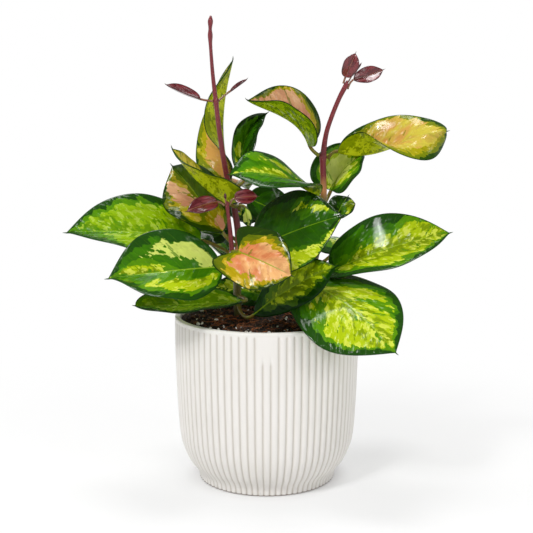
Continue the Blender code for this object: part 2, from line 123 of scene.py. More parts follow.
class Wire:
    """An output socket of a material. Arithmetic on it adds Math nodes to the same material."""

    def __init__(self, tree, socket=None):
        self.tree = tree
        self.socket = socket

    def node(self, kind, settings, inputs, output=0):
        """Add a node of a type, with its settings and then its input values or links. Inputs and
        the output are given by name or by number."""
        made = self.tree.nodes.new(kind)
        for key, value in settings.items():
            setattr(made, key, value)
        for key, value in inputs.items():
            if isinstance(value, Wire):
                self.tree.links.new(value.socket, made.inputs[key])
            else:
                made.inputs[key].default_value = value
        return Wire(self.tree, made.outputs[output])

    def math(self, operation, *values):
        return self.node("ShaderNodeMath", {"operation": operation}, dict(enumerate(values)))

    def __add__(self, other):
        return self.math("ADD", self, other)

    __radd__ = __add__

    def __sub__(self, other):
        return self.math("SUBTRACT", self, other)

    def __rsub__(self, other):
        return self.math("SUBTRACT", other, self)

    def __mul__(self, other):
        return self.math("MULTIPLY", self, other)

    __rmul__ = __mul__

    def __truediv__(self, other):
        return self.math("DIVIDE", self, other)

    def most(self, other):
        return self.math("MAXIMUM", self, other)

    def size(self):
        return self.math("ABSOLUTE", self)

    def zigzag(self):
        """Straight from 0 at each whole number up to 1 half way to the next, and back."""
        return self.math("PINGPONG", self, 0.5) * 2.0

    def rise(self, low, high):
        """0 below low and 1 above high, with a smooth step between; high may lie below low."""
        settings = {"interpolation_type": "SMOOTHSTEP"}
        inputs = {"Value": self, "From Min": low, "From Max": high}
        return self.node("ShaderNodeMapRange", settings, inputs)

    def tint(self, base, top):
        """Colour that goes from base, where this is 0, to top, where it is 1. The node names its
        colour sockets like its other ones, so they go by number: 6, 7 and, for the result, 2."""
        colours = {6: colour(base), 7: colour(top), 0: self}
        return self.node("ShaderNodeMix", {"data_type": "RGBA"}, colours, output=2)

    def noise(self, vector, scale, detail=2.0, rough=0.5):
        inputs = {"Vector": vector, "Scale": scale, "Detail": detail, "Roughness": rough}
        return self.node("ShaderNodeTexNoise", {}, inputs)

    def vector(self, x, y, z):
        return self.node("ShaderNodeCombineXYZ", {}, {"X": x, "Y": y, "Z": z})

    def attribute(self, label):
        """The number that each point of the mesh holds under a label."""
        return self.node("ShaderNodeAttribute", {"attribute_name": label}, {}, output="Fac")

    def place(self):
        """Place on the piece, in metres from the scene's origin."""
        return self.node("ShaderNodeTexCoord", {}, {}, output="Object")

    def bump(self, height, distance):
        return self.node("ShaderNodeBump", {}, {"Height": height, "Distance": distance})


def colour(value):
    """A colour socket's value: a link as it is, or a linear red, green and blue with its alpha."""
    return value if isinstance(value, Wire) else (*value, 1.0)


def paint(red, green, blue):
    """Linear colour of a paint given in ordinary 0 to 255 steps."""
    return tuple(((c / 255 + 0.055) / 1.055) ** 2.4 for c in (red, green, blue))


def new_material(name):
    """Empty Principled material: the material, a loose wire of its tree, and its shader node."""
    material = bpy.data.materials.new(name)
    material.use_nodes = True
    return material, Wire(material.node_tree), material.node_tree.nodes["Principled BSDF"]


def feed(shader, **sockets):
    """Set or link a shader's sockets; base_color is Base Color, and so on."""
    for key, value in sockets.items():
        socket = shader.inputs[key.replace("_", " ").title().replace("Ior", "IOR")]
        if isinstance(value, Wire):
            value.tree.links.new(value.socket, socket)
        else:
            socket.default_value = (*value, 1.0) if isinstance(value, tuple) else value


def pot_rings():
    """Rings along the pot's section: up the inside, over the lip, down the ribbed wall, and how
    deep each point lies in a groove. A rib is a power of the absolute cosine of the angle, so it is
    round on top with a sharp groove on each side. The lips are quarters of a circle."""
    inside = smooth_path(INSIDE_LINE, 4)
    bend = np.linspace(0, math.pi / 2, 5)
    inner_lip = np.stack([POT_HEIGHT - LIP_ROUND * (1 - np.sin(bend)),
                          LIP_INSIDE + LIP_ROUND * (1 - np.cos(bend))], -1)
    outer_lip = np.stack([POT_HEIGHT - LIP_ROUND * (1 - np.cos(bend)),
                          LIP_OUTSIDE - LIP_ROUND * (1 - np.sin(bend))], -1)
    above_wall = np.vstack([[(FLOOR, POLE)], inside, inner_lip, outer_lip])
    below_lip = np.linspace(*BELOW_LIP, 6)
    line = np.vstack([above_wall, below_lip, smooth_path(WALL_LINE, 5), UNDERSIDE])
    height, radius = line[:, :1], line[:, 1:]
    angle = -np.linspace(0, 2 * math.pi, RIB_COUNT * SAMPLES_PER_RIB, endpoint=False)[None, :]
    groove = 1 - np.abs(np.cos(angle * RIB_COUNT / 2)) ** RIB_ROUNDNESS
    outside = np.arange(len(line))[:, None] >= len(above_wall)
    ribs_top = POT_HEIGHT - PLAIN_LIP
    ribbed = outside * smoothstep(ribs_top, ribs_top - RIB_START, height)
    ribbed = ribbed * smoothstep(0.0, RIB_END, height)
    from_front = np.abs((angle + math.pi / 2 + math.pi) % (2 * math.pi) - math.pi) * LIP_OUTSIDE
    bare_foot = POT_HEIGHT - BARE_HEIGHT
    bare = smoothstep(BARE_WIDTH / 2 + 0.8, BARE_WIDTH / 2 - 0.4, from_front)
    bare = bare * smoothstep(bare_foot - 1.5, bare_foot + 1.5, height)
    pressed = groove * ribbed * (1 - bare)
    radius = radius - RIB_DEPTH * pressed
    rings = np.stack([radius * np.cos(angle), radius * np.sin(angle), height + 0 * angle], -1)
    return rings, pressed


def pot_plastic():
    """Matt moulded plastic: a warm off-white, faintly mottled, with a fine eggshell grain. Shade is
    painted deep in the grooves, and a contact shadow along the edge that the pot stands on."""
    material, wire, shader = new_material("pot_plastic")
    place = wire.place()
    cloud = wire.noise(place, 25.0, 2.0)
    grain = wire.noise(place, 2200.0, 2.0)
    tone = cloud.rise(0.3, 0.7).tint(paint(231, 228, 223), paint(234, 231, 227))
    # Painted shade: the grooves turn a darker taupe the deeper a point lies in them
    tone = (wire.attribute("groove").rise(0.2, 1.0) * 0.62).tint(tone, paint(184, 174, 162))
    # Painted contact shadow: a dark brown line within about 1.3 mm of the floor, where the foot
    # curves under
    tone = (wire.attribute("height").rise(1.3, 0.5) * 0.85).tint(tone, paint(116, 102, 88))
    feed(shader, base_color=tone, roughness=0.5 + 0.1 * cloud, normal=wire.bump(grain, 0.00002))
    return material


pot_surface, rib_groove = pot_rings()
pot = skin("pot_moulding", pot_surface, groove=rib_groove, height=pot_surface[..., 2])
pot.data.materials.append(pot_plastic())
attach(pot, "root")
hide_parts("pot")

# ------------------------------------------------------------------------------------- soil
# Damp bark and peat mix, poured to 3 mm under the lip: a lumpy crumb bed, loose bark chips, white
# perlite, pale grit and root fibres lie on it.

SOIL_TOP = 114.3
SOIL_SIDE = 60.6
SOIL_STEPS = 90
SOIL_AROUND = 240
SOIL_EDGE = [(60.5, 104.0), (58.0, 100.0)]     # radius and height, down inside the wall
LOOSE_REACH = 59.0                              # loose pieces lie within this radius
SEED = 7
scatter = np.random.default_rng(SEED)


def ripples(x, y, wave, count, seed):
    """Sum of sine waves of about one length in random directions, from about -1 to 1."""
    pick = np.random.default_rng(seed)
    turn = pick.uniform(0, 2 * math.pi, count)
    length = wave * pick.uniform(0.7, 1.5, count)
    phase = pick.uniform(0, 2 * math.pi, count)
    total = 0
    for t, size, shift in zip(turn, length, phase):
        total = total + np.sin(2 * math.pi * (x * math.cos(t) + y * math.sin(t)) / size + shift)
    return total / count ** 0.5 / 1.5


def soil_height(x, y):
    """Height of the crumb bed: level, with broad swells and small crumbs, and a low mound in the
    middle, which falls off as exp(-r^2)."""
    swell = 0.7 * ripples(x, y, 26, 6, 1)
    crumbs = 0.55 * ripples(x, y, 7, 9, 2) + 0.35 * ripples(x, y, 3.2, 12, 3)
    mound = np.exp(-(x * x + y * y) / 1500)
    return SOIL_TOP + swell + crumbs + mound - 0.2


def soil_rings():
    """Polar grid over the top, then down inside the pot's wall to a flat underside."""
    angle = np.linspace(0, 2 * math.pi, SOIL_AROUND, endpoint=False)[None, :]
    edge_radius, edge_height = np.array(SOIL_EDGE).T
    radius = np.concatenate([np.linspace(0.6, SOIL_SIDE, SOIL_STEPS), edge_radius])[:, None]
    x, y = radius * np.cos(angle), radius * np.sin(angle)
    z = soil_height(x, y)
    z[-len(SOIL_EDGE):] = edge_height[:, None]
    under = np.stack([POLE * np.cos(angle), POLE * np.sin(angle), edge_height[-1] + 0 * angle], -1)
    return np.concatenate([np.stack([x, y, z], -1), under])


def soil_mix(name, low, high, flecks):
    """Dark crumbly finish between two browns, with small flecks of a third colour."""
    material, wire, shader = new_material(name)
    place = wire.place()
    crumb = wire.noise(place, 420.0, 5.0, 0.65)
    fleck = wire.noise(place, 900.0, 1.0).rise(0.66, 0.72)
    tone = fleck.tint(crumb.rise(0.35, 0.7).tint(low, high), flecks)
    feed(shader, base_color=tone, roughness=0.8 + 0.15 * crumb, normal=wire.bump(crumb, 0.0012))
    return material


soil = skin("soil_bed", soil_rings())
soil.data.materials.append(
    soil_mix("soil_crumb", paint(12, 7, 4), paint(52, 32, 19), paint(110, 76, 48)))
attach(soil, "root")
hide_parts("soil")


def ball(level):
    """Unit ball as vertices and triangles: an icosahedron, split level - 1 times."""
    mesh = bpy.data.meshes.new("ball")
    shape = bmesh.new()
    bmesh.ops.create_icosphere(shape, subdivisions=level, radius=1.0)
    shape.to_mesh(mesh)
    shape.free()
    points = np.empty((len(mesh.vertices), 3), np.float32)
    faces = np.empty((len(mesh.polygons), 3), np.int32)
    mesh.vertices.foreach_get("co", points.ravel())
    mesh.polygons.foreach_get("vertices", faces.ravel())
    bpy.data.meshes.remove(mesh)
    return points, faces


def random_turns(count):
    """Uniform random rotation matrices, (count, 3, 3), from normalised random quaternions."""
    w, x, y, z = scatter.normal(size=(4, count))
    norm = np.sqrt(w * w + x * x + y * y + z * z)
    w, x, y, z = w / norm, x / norm, y / norm, z / norm
    rows = [[1 - 2 * (y * y + z * z), 2 * (x * y - w * z), 2 * (x * z + w * y)],
            [2 * (x * y + w * z), 1 - 2 * (x * x + z * z), 2 * (y * z - w * x)],
            [2 * (x * z - w * y), 2 * (y * z + w * x), 1 - 2 * (x * x + y * y)]]
    return np.moveaxis(np.array(rows), -1, 0)


def add_loose(name, points, faces, finish):
    """One piece of many copies of a small mesh: the points of each copy, a (count, n, 3) array in
    millimetres, and the faces of one copy."""
    count, size, _ = points.shape
    index = faces[None] + (np.arange(count) * size)[:, None, None]
    mesh = bpy.data.meshes.new(name)
    mesh.from_pydata((points.reshape(-1, 3) * MM).tolist(), [],
                     index.reshape(-1, faces.shape[1]).tolist())
    piece = add_piece(name, mesh)
    mesh.materials.append(finish)
    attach(piece, "root")


def strew(name, count, level, sizes, flat, rough, finish, sink=0.2):
    """Loose lumps on the bed: unit balls, dented at random, stretched to three sizes in mm, turned
    at random, and dropped on the soil with part of their height sunk in."""
    points, faces = ball(level)
    dents = 1 + rough * scatter.uniform(-1, 1, (count, len(points), 1))
    length = scatter.uniform(*sizes, (count, 1, 1))
    breadth, height = scatter.uniform(0.5, 0.9, count), scatter.uniform(*flat, count)
    stretch = np.stack([np.ones(count), breadth, height], -1)
    local = points[None] * dents * length / 2 * stretch[:, None, :]
    tilt = 0.35 * random_turns(count) + 0.65 * np.eye(3)
    spin = scatter.uniform(0, 2 * math.pi, count)
    cos, sin, none = np.cos(spin), np.sin(spin), np.zeros(count)
    rows = [[cos, -sin, none], [sin, cos, none], [none, none, none + 1]]
    yaw = np.moveaxis(np.array(rows), -1, 0)
    turned = np.einsum("cij,cpj->cpi", yaw @ tilt, local)
    radius = (LOOSE_REACH - sizes[1] / 2) * np.sqrt(scatter.uniform(0.0, 1, count))
    angle = scatter.uniform(0, 2 * math.pi, count)
    x, y = radius * np.cos(angle), radius * np.sin(angle)
    z = soil_height(x, y) - turned[..., 2].min(1) * (1 - sink) - sink * length[:, 0, 0] / 2
    place = np.stack([x, y, z], -1)
    add_loose(name, turned + place[:, None, :], faces, finish)


def perlite_white():
    """Puffed volcanic glass: chalky white and pitted, with brown dust in the pits."""
    material, wire, shader = new_material("perlite_white")
    pits = wire.noise(wire.place(), 1500.0, 4.0, 0.7)
    tone = pits.rise(0.3, 0.6).tint(paint(150, 140, 125), paint(240, 238, 230))
    feed(shader, base_color=tone, roughness=0.9, normal=wire.bump(pits, 0.0004))
    return material


FIBRE_RINGS = 7


def strew_fibres(name, count, length, thickness, finish):
    """Coir and root fibres on the bed: bowed threads of four-sided rings that taper to both ends,
    each a parabola p(t) = place + along * t + bow * (1 - 4 t^2), t from -1/2 to 1/2."""
    t = np.linspace(-0.5, 0.5, FIBRE_RINGS)[None, :]
    turn = scatter.uniform(0, 2 * math.pi, (count, 1))
    size = scatter.uniform(*length, (count, 1))
    bow = size * scatter.uniform(-0.3, 0.3, (count, 1)) * (1 - 4 * t * t)
    radius = (LOOSE_REACH - 1 - size) * np.sqrt(scatter.uniform(0.1, 1, (count, 1)))
    angle = scatter.uniform(0, 2 * math.pi, (count, 1))
    x = radius * np.cos(angle) + size * t * np.cos(turn) - bow * np.sin(turn)
    y = radius * np.sin(angle) + size * t * np.sin(turn) + bow * np.cos(turn)
    z = soil_height(x, y) + 0.7 + 1.2 * scatter.uniform(0, 1, (count, 1)) * (1 - 4 * t * t)
    thick = scatter.uniform(*thickness, (count, 1)) * (1.08 - 4 * t * t)
    corner = np.arange(4) * math.pi / 2
    outward = np.cos(corner) * thick[..., None]
    points = np.stack([x[..., None] - outward * np.sin(turn)[..., None],
                       y[..., None] + outward * np.cos(turn)[..., None],
                       z[..., None] + np.sin(corner) * thick[..., None]], -1)
    ring, side = np.meshgrid(np.arange(FIBRE_RINGS - 1), np.arange(4), indexing="ij")
    here, beside = ring * 4 + side, ring * 4 + (side + 1) % 4
    quads = np.stack([here, here + 4, beside + 4, beside], -1).reshape(-1, 4)
    last = 4 * FIBRE_RINGS - 1
    ends = [[0, 1, 2, 3], [last, last - 1, last - 2, last - 3]]
    add_loose(name, points.reshape(count, -1, 3), np.concatenate([quads, ends]), finish)


strew("soil_crumbs", 1500, 1, (1.2, 3.4), (0.5, 0.9), 0.22,
      soil_mix("crumb_dark", paint(14, 8, 5), paint(60, 38, 24), paint(112, 74, 44)))
strew("bark_chips", 330, 1, (3.2, 8.0), (0.16, 0.4), 0.25,
      soil_mix("bark_brown", paint(34, 18, 10), paint(122, 76, 44), paint(176, 122, 76)), sink=0.05)
strew("perlite", 78, 2, (2.0, 4.8), (0.7, 0.95), 0.14, perlite_white())
strew("pale_grit", 150, 1, (0.7, 1.7), (0.5, 0.9), 0.2,
      soil_mix("grit_pale", paint(140, 116, 84), paint(204, 182, 146), paint(224, 210, 180)),
      sink=0.1)
strew_fibres("root_fibres", 150, (6.0, 16.0), (0.22, 0.5),
             soil_mix("fibre_orange", paint(96, 48, 20), paint(176, 104, 52), paint(196, 140, 90)))

# ------------------------------------------------------------------------------------- stems
# Three living shoots. The tall one and the right one stand in the soil, and the front one branches
# off the tall one. They swell where a pair of leaves joins, and go from olive bark to crimson.

STEM_AROUND = 28


@dataclass
class Stem:
    """A shoot: the points of its centre line, its radius at each, and the heights of its joints."""
    name: str
    points: list
    radii: list
    nodes: tuple
    bark_from: float     # height where the olive bark begins to turn
    bark_to: float       # height where it has turned crimson

    def path(self, steps=2):
        return smooth_path([(*p, r) for p, r in zip(self.points, self.radii)], steps)

    def swell(self, height, radius):
        """Radius with a bell of a fifth more round each joint."""
        for node in self.nodes:
            radius = radius * (1 + 0.22 * np.exp(-((height - node) / 2.2) ** 2))
        return radius

    def at(self, height):
        """Centre and radius of the stem at a height."""
        path = self.path()
        x, y, radius = (np.interp(height, path[:, 2], path[:, column]) for column in (0, 1, 3))
        return np.array([x, y, height]), self.swell(height, radius)


SHOOTS = [
    Stem(
        "stem_tall",
        points=[(-20.5, 7, 106.3), (-20.6, 6.9, 116), (-21, 6, 127), (-21, 3, 150), (-20, 0, 174),
                (-24, 0, 199), (-28, 0, 216), (-32, 0, 240), (-35, 0, 266), (-37, 0, 284),
                (-38.4, 0, 303.5), (-38.6, 0, 311), (-38.6, 0, 315.5), (-38.4, 0, 320.5),
                (-38.2, 0, 323.5)],
        radii=[2.8, 2.8, 2.8, 2.6, 2.4, 2.1, 1.9, 1.7, 1.6, 1.35, 1.2, 1.7, 1.2, 1.8, 0.9],
        nodes=(160, 199, 266), bark_from=140, bark_to=176),
    Stem(
        "stem_right",
        points=[(24, 9, 106.3), (24.2, 9, 116), (26.5, 9, 127), (33, 9, 150), (38, 8, 175),
                (40, 7, 193), (39.7, 5, 212), (39.3, 4, 228), (41.2, 3, 244), (45.2, 2, 257),
                (50, 0.5, 269), (54, -1, 277), (55, -1.5, 280)],
        radii=[2.7, 2.7, 2.7, 2.6, 2.5, 2.4, 2.2, 2.1, 1.7, 1.6, 1.6, 1.7, 0.9],
        nodes=(193, 228), bark_from=196, bark_to=216),
    Stem(
        "stem_front",
        points=[(-21, 2.2, 140.5), (-21.3, -5, 144), (-21.6, -12, 148), (-22, -20, 152),
                (-23, -31, 159), (-23.5, -35, 169), (-24.5, -38.5, 183), (-26, -41, 197),
                (-26.2, -41.4, 200.5)],
        radii=[1.9, 1.9, 1.9, 1.8, 1.8, 1.7, 1.4, 1.2, 1.2],
        nodes=(198,), bark_from=146, bark_to=160),
]
STEMS = {stem.name: stem for stem in SHOOTS}


def unit(vectors):
    """Vectors scaled to length 1 along their last axis."""
    return vectors / np.linalg.norm(vectors, axis=-1, keepdims=True)


def ring_angles(count):
    """Angles of a ring's points, which run from its left over its top to its right and back."""
    return math.pi - 2 * math.pi * np.arange(count) / count


def circles(centre, radius, right, up, count):
    """Rings of a round tube: centre + radius * (right cos(angle) + up sin(angle))."""
    angle = ring_angles(count)[None, :, None]
    outward = right[:, None] * np.cos(angle) + up[:, None] * np.sin(angle)
    return centre[:, None] + radius[:, None, None] * outward


def tube(path, radius, count, up=(0.0, -1.0, 0.2)):
    """Rings across a path, turned so that `up` is at their top."""
    ahead = unit(np.gradient(path, axis=0))
    rise = unit(np.array(up) - ahead * (ahead @ np.array(up))[:, None])
    return circles(path, radius, np.cross(ahead, rise), rise, count)


def stem_bark(stem):
    """Smooth skin, crimson above, olive below and rusty where the two meet, with fine lengthwise
    ridges and pale freckles."""
    material, wire, shader = new_material(f"{stem.name}_bark")
    place = wire.place()
    height = wire.attribute("height") + 8.0 * (wire.noise(place, 90.0, 2.0) - 0.5)
    streak = wire.noise(wire.vector(wire.attribute("around") * 30.0, height * 0.06, 0.0), 1.0, 3.0)
    crimson = streak.rise(0.3, 0.75).tint(paint(98, 16, 28), paint(140, 38, 48))
    bark = streak.rise(0.3, 0.7).tint(paint(62, 70, 12), paint(108, 96, 34))
    rust = streak.rise(0.3, 0.7).tint(paint(168, 98, 52), paint(206, 146, 88))
    turn = (height - stem.bark_from) / (stem.bark_to - stem.bark_from)
    warm = turn.rise(0.0, 0.5) * turn.rise(1.0, 0.5)
    tone = warm.tint(turn.rise(0.2, 0.9).tint(bark, crimson), rust)
    freckle = wire.noise(place, 1400.0, 1.0).rise(0.68, 0.74) * 0.5
    feed(shader, base_color=freckle.tint(tone, paint(196, 150, 118)), roughness=0.34 + 0.2 * streak,
         coat_weight=0.2, coat_roughness=0.15, normal=wire.bump(streak, 0.0003))
    return material


def stem_rings(stem):
    """Rings up a stem: its own radius, a fine leaf scar as a ridge over each joint, and a domed
    end, whose radius goes as the square root of 1 - t^2."""
    line = stem.path(9)
    centre, height = line[:, :3], line[:, 2]
    radius = stem.swell(height, line[:, 3])
    scars = [0.12 * np.exp(-((height - node - 1.4) / 0.35) ** 2) for node in stem.nodes]
    radius = radius + sum(scars)
    t = np.linspace(0.15, 0.97, 6)
    domed = centre[-1] + unit(centre[-1] - centre[-2]) * (radius[-1] * t)[:, None]
    radius = np.append(radius, radius[-1] * np.sqrt(1 - t ** 2))
    return tube(np.vstack([centre, domed]), radius, STEM_AROUND)


for stem in SHOOTS:
    rings = stem_rings(stem)
    # From 1 down to 0 and back round the stem, so that the bark's streaks meet without a seam
    around = np.abs(np.linspace(-1, 1, STEM_AROUND, endpoint=False)) + 0 * rings[..., 2]
    shoot = skin(f"{stem.name}_shoot", rings, height=rings[..., 2], around=around)
    shoot.data.materials.append(stem_bark(stem))
    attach(shoot, "root")
    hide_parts(stem.name)

# ------------------------------------------------------------------------------------- leaves
# Thick waxy leaves, most of them in pairs, each one piece of living tissue with its stalk: dark
# green at the rim, splashed inside with lime, cream, gold or pink that stops in teeth along the
# side veins.

BLADE_ROWS = 104
HALF_COLUMNS = 18
BLADE_THICKNESS = 1.4
RIB_WIDTH = 0.9
KEEL_WIDTH = 1.9
CHANNEL_DEPTH = 0.28
STALK_RADIUS = 1.25
STALK_ROWS = 14
STALK_GAP = 0.1
POINT_ROWS = 5
POINT_LENGTH = 2.6
POINT_RADIUS = 0.42
FAR_OUTSIDE = 30.0       # depth, in mm, at which a splash no longer counts


@dataclass
class Splash:
    """A pale area of a leaf: the middle, half length and half width of an ellipse in the leaf's own
    coordinates, along from 0 to 1 and across from -1 to 1, whose middle line may slope."""
    along: float
    across: float
    length: float
    width: float
    slope: float = 0.0


@dataclass
class Leaf:
    """A waxy leaf: a round stalk and a blade that folds along its midrib.

    base and tip are the ends of the midrib and face is where the upper side looks. left and right
    are the angles by which the two halves rise from flat, as seen from the stalk with the upper
    side up, cup is how much more each half curves towards its margin, and twist turns both about
    the midrib. An angle is one number, or three for the base, the middle and the tip. arch bows
    the midrib towards face, ess bends it the other way beyond the middle, and sway bows it to the
    right. The blade's width peaks at widest, and lower powers blunt and point make its base and its
    tip fuller. wave and waves are the height and number of the margin's swings, and lobe is how far
    the margin sweeps back at the base. lime and cream are where the two paler tissues lie, and
    green is where an island of the ground colour stays inside them. seed shifts the margin's
    swings and the tissue's pattern.
    """
    name: str
    stem: str
    joint: float
    base: tuple
    tip: tuple
    face: tuple
    width: float
    widest: float = 0.45
    blunt: float = 0.52
    point: float = 0.95
    left: object = 10
    right: object = 10
    cup: float = 0
    twist: object = 0
    arch: float = 0
    ess: float = 0
    sway: float = 0
    lobe: float = 0.12
    stalk: float = STALK_RADIUS
    thickness: float = BLADE_THICKNESS
    wave: float = 0.7
    waves: float = 2.3
    lime: tuple = ()
    cream: tuple = ()
    green: tuple = ()
    tissue: str = "lime"
    seed: float = 0.0

    @property
    def length(self):
        return float(np.linalg.norm(np.subtract(self.tip, self.base)))

    def axes(self):
        """Unit vectors along the leaf, out of its upper side and to its right."""
        ahead = unit(np.subtract(self.tip, self.base).astype(float))
        face = np.array(self.face, float)
        up = unit(face - ahead * (face @ ahead))
        return ahead, up, np.cross(ahead, up)

    def midrib(self, u):
        """Straight line from base to tip, bowed by a parabola and by an S-shaped cubic."""
        ahead, up, right = self.axes()
        u = np.asarray(u, float)[..., None]
        bow = 4 * u * (1 - u)
        bend = 10.4 * u * (1 - u) * (1 - 2 * u)
        straight = np.array(self.base) + np.subtract(self.tip, self.base) * u
        return straight + up * (self.arch * bow + self.ess * bend) + right * self.sway * bow

    def half_width(self, u):
        """A sine arch, skewed so that it peaks at `widest`, blunt at the base and pointed at the
        tip, and never narrower than the stalk at its base and the drip point at its tip."""
        skew = math.log(0.5) / math.log(self.widest)
        power = self.blunt + (self.point - self.blunt) * np.maximum((u - 0.35) / 0.65, 0) ** 2
        arch = 0.5 * self.width * np.maximum(np.sin(math.pi * u ** skew), 0) ** power
        least = self.stalk * np.exp(-u / 0.02)
        least = least + POINT_RADIUS * self.stalk / STALK_RADIUS * np.exp(-(1 - u) / 0.02)
        return np.sqrt(arch ** 2 + least ** 2)

    def blade_axes(self, u):
        """The leaf's axes at stations u, with ahead along the midrib there and turned by twist."""
        step = 0.001
        ahead = unit(self.midrib(u + step) - self.midrib(u - step))
        up = self.axes()[1]
        up = unit(up - ahead * (ahead @ up)[..., None])
        right = np.cross(ahead, up)
        turn = np.radians(blend(self.twist, u))[..., None]
        up = up * np.cos(turn) + right * np.sin(turn)
        return ahead, up, np.cross(ahead, up)

    def middle_surface(self, u, v):
        """Points and normals of the blade's middle surface, u along and v across from -1 to 1. Each
        half leaves the midrib at its fold angle, softened beside the rib, and curves by cup towards
        the margin. The lobes sweep back at the base, and the margin swings in slow waves."""
        ahead, up, right = (axis[:, None, :] for axis in self.blade_axes(u))
        centre = self.midrib(u)[:, None, :]
        u, v = u[:, None], v[None, :]
        side = np.sign(v)
        fold = np.radians(np.where(v > 0, blend(self.right, u), blend(self.left, u)))
        far = np.abs(v)
        soft = np.sqrt(far ** 2 + 0.05 ** 2) - 0.05 * (1 - far)
        cup = np.radians(self.cup) * far
        mean = np.sinc(cup / 2 / math.pi)
        half = self.half_width(u)
        out = far * np.cos(fold + cup / 2) * mean
        swing = self.wave * np.sin(2 * math.pi * self.waves * u + self.seed + 1.3 * side)
        swing = swing * far ** 2 * np.sin(math.pi * np.clip(u, 0, 1)) ** 0.5
        rise = soft * np.sin(fold + cup / 2) * mean * half + swing * np.cos(fold)
        swept = self.lobe * 2 * half * far ** 1.5 * np.exp(-(u / 0.25) ** 2)
        aside = side * half * out - side * swing * np.sin(fold)
        place = centre + aside[..., None] * right
        place = place + rise[..., None] * up - swept[..., None] * ahead
        edge = (fold + cup) * far / (far + 0.04)
        normal = np.cos(edge)[..., None] * up - (side * np.sin(edge))[..., None] * right
        return place, normal

    def blade(self):
        """Rings of the blade: the middle surface raised by half its thickness, which ends in a
        round margin, and lowered by as much, with a channel over the midrib and a keel under it.
        Rows lie closer at both ends of the blade, and columns beside the midrib and the margin."""
        s = np.arange(1, BLADE_ROWS) / BLADE_ROWS
        u = 0.5 * (1 - np.cos(math.pi * s))
        step = np.linspace(-1, 1, 2 * HALF_COLUMNS + 1)
        v = np.sign(step) * np.sin(math.pi / 2 * np.abs(step)) ** 1.6
        place, normal = self.middle_surface(u, v)
        half = self.half_width(u)[:, None]
        reach = v[None, :] * half
        thick = self.thickness * (0.45 + 0.55 * smoothstep(1.0, 0.9, u))[:, None]
        lift = 0.5 * thick * np.sqrt(1 - np.abs(v[None, :]) ** 9)
        narrow = np.exp(-(reach / RIB_WIDTH) ** 2)
        broad = np.exp(-(reach / KEEL_WIDTH) ** 2)
        near_stalk = np.exp(-u / 0.03)[:, None]
        keel = (self.stalk - 0.5 * thick) * broad * (1 - 0.75 * u[:, None])
        channel = CHANNEL_DEPTH * narrow * smoothstep(0.0, 0.06, u)[:, None]
        channel = channel * self.stalk / STALK_RADIUS
        above = lift - channel + (self.stalk - 0.5 * thick) * broad * near_stalk
        below = lift + keel
        upper = place + normal * above[..., None]
        lower = place - normal * below[..., None]
        ring = np.concatenate([upper, lower[:, -2:0:-1]], 1)
        across = np.concatenate([v, v[-2:0:-1]])[None, :] + 0 * u[:, None]
        return ring, u, across

    def stalk_rings(self, count):
        """Circles along a quadratic curve that leaves the stem's skin and ends along the midrib,
        thicker where it joins the stem."""
        ahead, up, _ = (axis[0] for axis in self.blade_axes(np.zeros(1)))
        base = self.midrib(0.0)
        stem = STEMS[self.stem]
        foot, stem_radius = stem.at(self.joint)
        control = base - ahead * 0.35 * np.linalg.norm(base - foot)
        grain = unit(stem.at(self.joint + 1)[0] - stem.at(self.joint - 1)[0])
        offset = control - foot
        outward = unit(offset - grain * (offset @ grain))
        lean = abs(unit(offset) @ grain)
        foot = foot + outward * (stem_radius + STALK_GAP + self.stalk * lean)
        t = np.linspace(0, 0.985, STALK_ROWS)[:, None]
        centre = foot * (1 - t) ** 2 + control * 2 * t * (1 - t) + base * t ** 2
        along = unit((control - foot) * (1 - t) + (base - control) * t)
        up = unit(up - along * (along @ up)[:, None])
        radius = self.stalk * (1 + 0.25 * np.exp(-t[:, 0] / 0.08))
        return circles(centre, radius, np.cross(along, up), up, count), t[:, 0] - 1

    def drip_point(self, count):
        """Circles that taper to nothing beyond the tip and turn slightly to the upper side."""
        ahead, up, right = self.blade_axes(np.ones(1))
        t = np.linspace(0.05, 1, POINT_ROWS)
        size = self.stalk / STALK_RADIUS
        beyond = t[:, None] * ahead + 0.25 * t[:, None] ** 2 * up
        centre = self.midrib(1.0) + size * POINT_LENGTH * beyond
        radius = POINT_RADIUS * size * (1 - t) ** 0.8 + 0.04
        return circles(centre, radius, right, up, count), 1 + 0.02 * t

    def area(self, splashes, u, v):
        """Distance in millimetres inside the nearest border of some splashes, negative outside."""
        inside = np.full(u.shape, -FAR_OUTSIDE)
        for splash in splashes:
            along = (u - splash.along) / splash.length
            across = (v - splash.across - splash.slope * (u - splash.along)) / splash.width
            size = min(splash.length * self.length, splash.width * 0.5 * self.width)
            inside = np.maximum(inside, (1 - np.sqrt(along ** 2 + across ** 2)) * size)
        return np.clip(inside, -FAR_OUTSIDE, FAR_OUTSIDE)

    def make(self):
        """Mesh of stalk, blade and drip point with what its tissue needs: along runs from 0 to 1
        over the blade and is below 0 on the stalk, edge and reach are the distances, in mm, from
        the margin and to the right of the midrib, upper tells the two faces apart, and lime and
        cream are the depth inside each paler tissue."""
        blade, u, across = self.blade()
        count = blade.shape[1]
        stalk, before = self.stalk_rings(count)
        point, after = self.drip_point(count)
        rings = np.concatenate([stalk, blade, point])
        angle = ring_angles(count)
        across = np.concatenate([np.cos(angle) + 0 * before[:, None], across,
                                 np.cos(angle) + 0 * after[:, None]])
        u = np.concatenate([before, u, after])[:, None] + 0 * across
        half = self.half_width(np.clip(u, 0, 1))
        upper = 0.5 + 0.5 * np.sign(np.round(np.sin(angle), 6)) + 0 * u
        islands = self.area(self.green, u, across)
        lime = np.minimum(self.area(self.lime, u, across), -islands)
        cream = np.minimum(self.area(self.cream, u, across), -islands)
        return skin(f"{self.name}_blade", rings, along=u, reach=across * half, upper=upper,
                    edge=(1 - np.abs(across)) * half, lime=lime, cream=cream)


